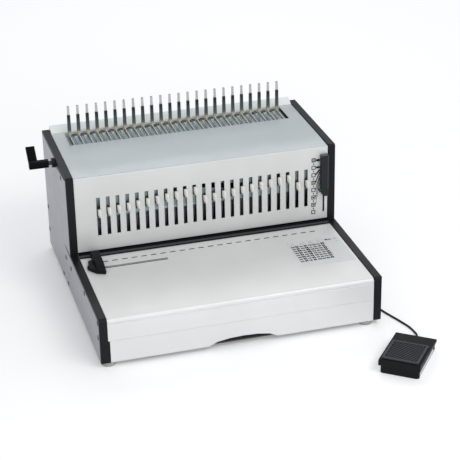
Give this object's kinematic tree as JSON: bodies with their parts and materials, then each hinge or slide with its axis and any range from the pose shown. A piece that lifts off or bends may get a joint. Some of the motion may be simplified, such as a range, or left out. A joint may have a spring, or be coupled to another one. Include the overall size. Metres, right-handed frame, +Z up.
{
  "type": "comb binding machine",
  "caption": "Electric comb binding machine with die selectors, comb opener, paper guide, chip drawer and foot pedal on a lead.",
  "frame": {"origin": "middle of the footprint of machine and pedal, on the surface they stand on", "axes": "+Z up, +Y from the table's front towards the back, +X to the right as seen by the operator"},
  "size_m": [0.49, 0.6061, 0.2415],
  "materials": {
    "silver_paint": "light silver-grey powder paint",
    "side_paint": "satin grey paint",
    "black_paint": "satin black paint",
    "black_plastic": "moulded matt black",
    "bright_steel": "bright",
    "zinc_plate": "zinc plated",
    "dark_steel": "dark primer",
    "grey_metal": "grey",
    "board_green": "circuit board",
    "black_rubber": "matt"
  },
  "bodies": {
    "machine": {"base_pan": "dark_steel", "left_side_plate": "side_paint", "right_side_plate": "side_paint", "left_edge_trim": "black_paint", "right_edge_trim": "black_paint", "work_table": "silver_paint", "throat_rail": "black_paint", "upper_cover": "silver_paint", "rear_cover": "silver_paint", "punch_frame": "dark_steel", "gearbox": "grey_metal", "motor": "dark_steel", "control_board": "board_green", "power_inlet": "black_plastic", "finger_rail": "bright_steel", "foot_front_left": "zinc_plate", "foot_front_right": "zinc_plate", "foot_rear_left": "zinc_plate", "foot_rear_right": "zinc_plate", "pedal_base": "grey_metal", "pedal_hinge_pin": "bright_steel", "pedal_spring": "bright_steel", "pedal_gland": "black_rubber", "pedal_cord": "black_rubber", "cord_coil": "black_rubber", "cord_plug": "black_rubber"},
    "drawer": {"waste_drawer": "silver_paint"},
    "cam": {"cam_shaft": "bright_steel"},
    "beam": {"punch_beam": "zinc_plate"},
    "opener": {"opener_shaft": "bright_steel", "opener_lever": "black_plastic"},
    "rake": {"opener_rake": "zinc_plate"},
    "slider": {"size_slider": "black_plastic"},
    "guide": {"edge_guide": "black_plastic"},
    "rocker": {"power_switch": "black_plastic"},
    "treadle": {"pedal_treadle": "black_plastic", "pedal_pad": "black_rubber"},
    "selector_01": {"die_selector_01": "bright_steel"},
    "selector_02": {"die_selector_02": "bright_steel"},
    "selector_03": {"die_selector_03": "bright_steel"},
    "selector_04": {"die_selector_04": "bright_steel"},
    "selector_05": {"die_selector_05": "bright_steel"},
    "selector_06": {"die_selector_06": "bright_steel"},
    "selector_07": {"die_selector_07": "bright_steel"},
    "selector_08": {"die_selector_08": "bright_steel"},
    "selector_09": {"die_selector_09": "bright_steel"},
    "selector_10": {"die_selector_10": "bright_steel"},
    "selector_11": {"die_selector_11": "bright_steel"},
    "selector_12": {"die_selector_12": "bright_steel"},
    "selector_13": {"die_selector_13": "bright_steel"},
    "selector_14": {"die_selector_14": "bright_steel"},
    "selector_15": {"die_selector_15": "bright_steel"},
    "selector_16": {"die_selector_16": "bright_steel"},
    "selector_17": {"die_selector_17": "bright_steel"},
    "selector_18": {"die_selector_18": "bright_steel"},
    "selector_19": {"die_selector_19": "bright_steel"},
    "selector_20": {"die_selector_20": "bright_steel"},
    "selector_21": {"die_selector_21": "bright_steel"},
    "selector_22": {"die_selector_22": "bright_steel"},
    "selector_23": {"die_selector_23": "bright_steel"}
  },
  "joints": [
    {"name": "opener_turn", "type": "hinge", "parent": "machine", "child": "opener", "pos_m": [-0.20651, 0.16368, 0.19], "axis": [-1, 0, 0], "range_deg": [0, 70]},
    {"name": "rake_slide", "type": "slide", "parent": "machine", "child": "rake", "axis": [0, -1, 0], "range_m": [0, 0.0298]},
    {"name": "cam_turn", "type": "hinge", "parent": "machine", "child": "cam", "pos_m": [-0.00401, 0.13368, 0.139], "axis": [1, 0, 0], "range_deg": [0, 165]},
    {"name": "beam_slide", "type": "slide", "parent": "machine", "child": "beam", "axis": [0, 0, -1], "range_m": [0, 0.022]},
    {"name": "treadle_turn", "type": "hinge", "parent": "machine", "child": "treadle", "pos_m": [0.21807, -0.19506, 0.0082], "axis": [0.7912, -0.6115, 0], "range_deg": [0, 2.7], "stiffness_Nm_per_rad": 4, "springref_deg": -3.44, "deforming": ["pedal_spring"]},
    {"name": "slider_slide", "type": "slide", "parent": "machine", "child": "slider", "axis": [0, 0, 1], "range_m": [-0.026, 0]},
    {"name": "guide_slide", "type": "slide", "parent": "machine", "child": "guide", "axis": [1, 0, 0], "range_m": [0, 0.1]},
    {"name": "drawer_slide", "type": "slide", "parent": "machine", "child": "drawer", "axis": [0, -1, 0], "range_m": [0, 0.065]},
    {"name": "rocker_turn", "type": "hinge", "parent": "machine", "child": "rocker", "pos_m": [-0.12101, 0.27028, 0.035], "axis": [1, 0, 0], "range_deg": [0, 20]},
    {"name": "selector_01_slide", "type": "slide", "parent": "beam", "child": "selector_01", "axis": [0, -1, 0], "range_m": [0, 0.005]},
    {"name": "selector_02_slide", "type": "slide", "parent": "beam", "child": "selector_02", "axis": [0, -1, 0], "range_m": [0, 0.005]},
    {"name": "selector_03_slide", "type": "slide", "parent": "beam", "child": "selector_03", "axis": [0, -1, 0], "range_m": [0, 0.005]},
    {"name": "selector_04_slide", "type": "slide", "parent": "beam", "child": "selector_04", "axis": [0, -1, 0], "range_m": [0, 0.005]},
    {"name": "selector_05_slide", "type": "slide", "parent": "beam", "child": "selector_05", "axis": [0, -1, 0], "range_m": [0, 0.005]},
    {"name": "selector_06_slide", "type": "slide", "parent": "beam", "child": "selector_06", "axis": [0, -1, 0], "range_m": [0, 0.005]},
    {"name": "selector_07_slide", "type": "slide", "parent": "beam", "child": "selector_07", "axis": [0, -1, 0], "range_m": [0, 0.005]},
    {"name": "selector_08_slide", "type": "slide", "parent": "beam", "child": "selector_08", "axis": [0, -1, 0], "range_m": [0, 0.005]},
    {"name": "selector_09_slide", "type": "slide", "parent": "beam", "child": "selector_09", "axis": [0, -1, 0], "range_m": [0, 0.005]},
    {"name": "selector_10_slide", "type": "slide", "parent": "beam", "child": "selector_10", "axis": [0, -1, 0], "range_m": [0, 0.005]},
    {"name": "selector_11_slide", "type": "slide", "parent": "beam", "child": "selector_11", "axis": [0, -1, 0], "range_m": [0, 0.005]},
    {"name": "selector_12_slide", "type": "slide", "parent": "beam", "child": "selector_12", "axis": [0, -1, 0], "range_m": [0, 0.005]},
    {"name": "selector_13_slide", "type": "slide", "parent": "beam", "child": "selector_13", "axis": [0, -1, 0], "range_m": [0, 0.005]},
    {"name": "selector_14_slide", "type": "slide", "parent": "beam", "child": "selector_14", "axis": [0, -1, 0], "range_m": [0, 0.005]},
    {"name": "selector_15_slide", "type": "slide", "parent": "beam", "child": "selector_15", "axis": [0, -1, 0], "range_m": [0, 0.005]},
    {"name": "selector_16_slide", "type": "slide", "parent": "beam", "child": "selector_16", "axis": [0, -1, 0], "range_m": [0, 0.005]},
    {"name": "selector_17_slide", "type": "slide", "parent": "beam", "child": "selector_17", "axis": [0, -1, 0], "range_m": [0, 0.005]},
    {"name": "selector_18_slide", "type": "slide", "parent": "beam", "child": "selector_18", "axis": [0, -1, 0], "range_m": [0, 0.005]},
    {"name": "selector_19_slide", "type": "slide", "parent": "beam", "child": "selector_19", "axis": [0, -1, 0], "range_m": [0, 0.005]},
    {"name": "selector_20_slide", "type": "slide", "parent": "beam", "child": "selector_20", "axis": [0, -1, 0], "range_m": [0, 0.005]},
    {"name": "selector_21_slide", "type": "slide", "parent": "beam", "child": "selector_21", "axis": [0, -1, 0], "range_m": [0, 0.005]},
    {"name": "selector_22_slide", "type": "slide", "parent": "beam", "child": "selector_22", "axis": [0, -1, 0], "range_m": [0, 0.005]},
    {"name": "selector_23_slide", "type": "slide", "parent": "beam", "child": "selector_23", "axis": [0, -1, 0], "range_m": [0, 0.005]}
  ],
  "couplings": [
    {"joint": "opener_turn", "follows": "rake_slide", "rad_per_m": 40.96},
    {"joint": "cam_turn", "follows": "beam_slide", "rad_per_m": 130.89}
  ]
}
